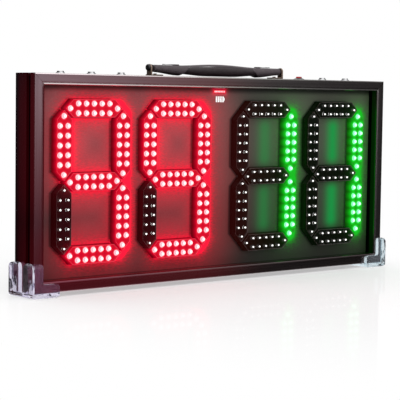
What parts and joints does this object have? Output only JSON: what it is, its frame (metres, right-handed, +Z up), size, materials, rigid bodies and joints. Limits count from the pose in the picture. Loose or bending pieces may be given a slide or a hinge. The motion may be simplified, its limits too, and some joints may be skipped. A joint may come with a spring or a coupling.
{
  "type": "substitution board",
  "caption": "Portable LED substitution board: flat black aluminium case with seven-segment digits, push buttons and a turning carry handle on its top edge, and clear corner shoes to stand on.",
  "frame": {"origin": "bottom centre of the bounding box, on the ground under the corner shoes", "axes": "+X along the board to the reader's right, -Y towards the reader, +Z up"},
  "size_m": [0.619, 0.052, 0.2864],
  "materials": {
    "anodised_black": "black anodised extrusion, satin",
    "panel_black": "matte black sheet",
    "housing_black": "glossy black potting and clear lamps",
    "clear_plastic": "clear moulded plastic",
    "level_red": "lit red light bar",
    "circuit_green": "green solder mask",
    "cell_blue": "blue shrink sleeve",
    "strap_steel": "plain steel strip",
    "key_aluminium": "plain aluminium",
    "handle_plastic": "stippled hard plastic",
    "grip_rubber": "smooth soft grip",
    "bracket_steel": "bronze-toned steel",
    "polished_steel": "polished steel",
    "black_steel": "black steel",
    "bush_black": "dark ribbed plastic",
    "power_red": "red plastic",
    "bezel_black": "glossy black plastic"
  },
  "bodies": {
    "board_body": {"frame_rail_top": "anodised_black", "frame_rail_bottom": "anodised_black", "frame_rail_left": "anodised_black", "frame_rail_right": "anodised_black", "corner_key_top_left": "key_aluminium", "corner_key_top_right": "key_aluminium", "corner_key_bottom_left": "key_aluminium", "corner_key_bottom_right": "key_aluminium", "display_panel": "panel_black", "digit_module_1": "housing_black", "digit_module_2": "housing_black", "digit_module_3": "housing_black", "digit_module_4": "housing_black", "control_board": "circuit_green", "level_light": "level_red", "battery_pack": "cell_blue", "battery_strap": "strap_steel", "back_cover": "anodised_black", "cover_screw_1": "black_steel", "cover_screw_2": "black_steel", "cover_screw_3": "black_steel", "cover_screw_4": "black_steel", "cover_screw_5": "black_steel", "cover_screw_6": "black_steel", "charge_socket": "black_steel", "charge_socket_nut": "key_aluminium", "button_1_body": "polished_steel", "button_1_nut": "key_aluminium", "button_2_body": "polished_steel", "button_2_nut": "key_aluminium", "button_3_body": "polished_steel", "button_3_nut": "key_aluminium", "button_4_body": "polished_steel", "button_4_nut": "key_aluminium", "button_5_body": "polished_steel", "button_5_nut": "key_aluminium", "power_button_body": "bezel_black", "power_button_nut": "key_aluminium", "handle_bracket_left": "bracket_steel", "handle_bracket_right": "bracket_steel", "bracket_screw_left": "black_steel", "bracket_screw_right": "black_steel", "handle_bush_left": "bush_black", "handle_bush_right": "bush_black", "handle_pin_left": "black_steel", "handle_pin_right": "black_steel", "corner_shoe_left": "clear_plastic", "corner_shoe_right": "clear_plastic"},
    "handle": {"handle_body": "handle_plastic", "handle_grip": "grip_rubber", "handle_plate_left": "polished_steel", "handle_plate_right": "polished_steel"},
    "key_1": {"button_1_cap": "polished_steel"},
    "key_2": {"button_2_cap": "polished_steel"},
    "key_3": {"button_3_cap": "polished_steel"},
    "key_4": {"button_4_cap": "polished_steel"},
    "key_5": {"button_5_cap": "polished_steel"},
    "power_key": {"power_button_cap": "power_red"}
  },
  "joints": [
    {"name": "handle_turn", "type": "hinge", "parent": "board_body", "child": "handle", "pos_m": [0, 0, 0.28], "axis": [1, 0, 0], "range_deg": [-38, 38]},
    {"name": "press_1", "type": "slide", "parent": "board_body", "child": "key_1", "axis": [0, 0, -1], "range_m": [0, 0.0012], "stiffness_N_per_m": 500, "springref_m": -0.001},
    {"name": "press_2", "type": "slide", "parent": "board_body", "child": "key_2", "axis": [0, 0, -1], "range_m": [0, 0.0012], "stiffness_N_per_m": 500, "springref_m": -0.001},
    {"name": "press_3", "type": "slide", "parent": "board_body", "child": "key_3", "axis": [0, 0, -1], "range_m": [0, 0.0012], "stiffness_N_per_m": 500, "springref_m": -0.001},
    {"name": "press_4", "type": "slide", "parent": "board_body", "child": "key_4", "axis": [0, 0, -1], "range_m": [0, 0.0012], "stiffness_N_per_m": 500, "springref_m": -0.001},
    {"name": "press_5", "type": "slide", "parent": "board_body", "child": "key_5", "axis": [0, 0, -1], "range_m": [0, 0.0012], "stiffness_N_per_m": 500, "springref_m": -0.001},
    {"name": "press_power", "type": "slide", "parent": "board_body", "child": "power_key", "axis": [0, 0, -1], "range_m": [0, 0.0012], "stiffness_N_per_m": 500, "springref_m": -0.001}
  ]
}
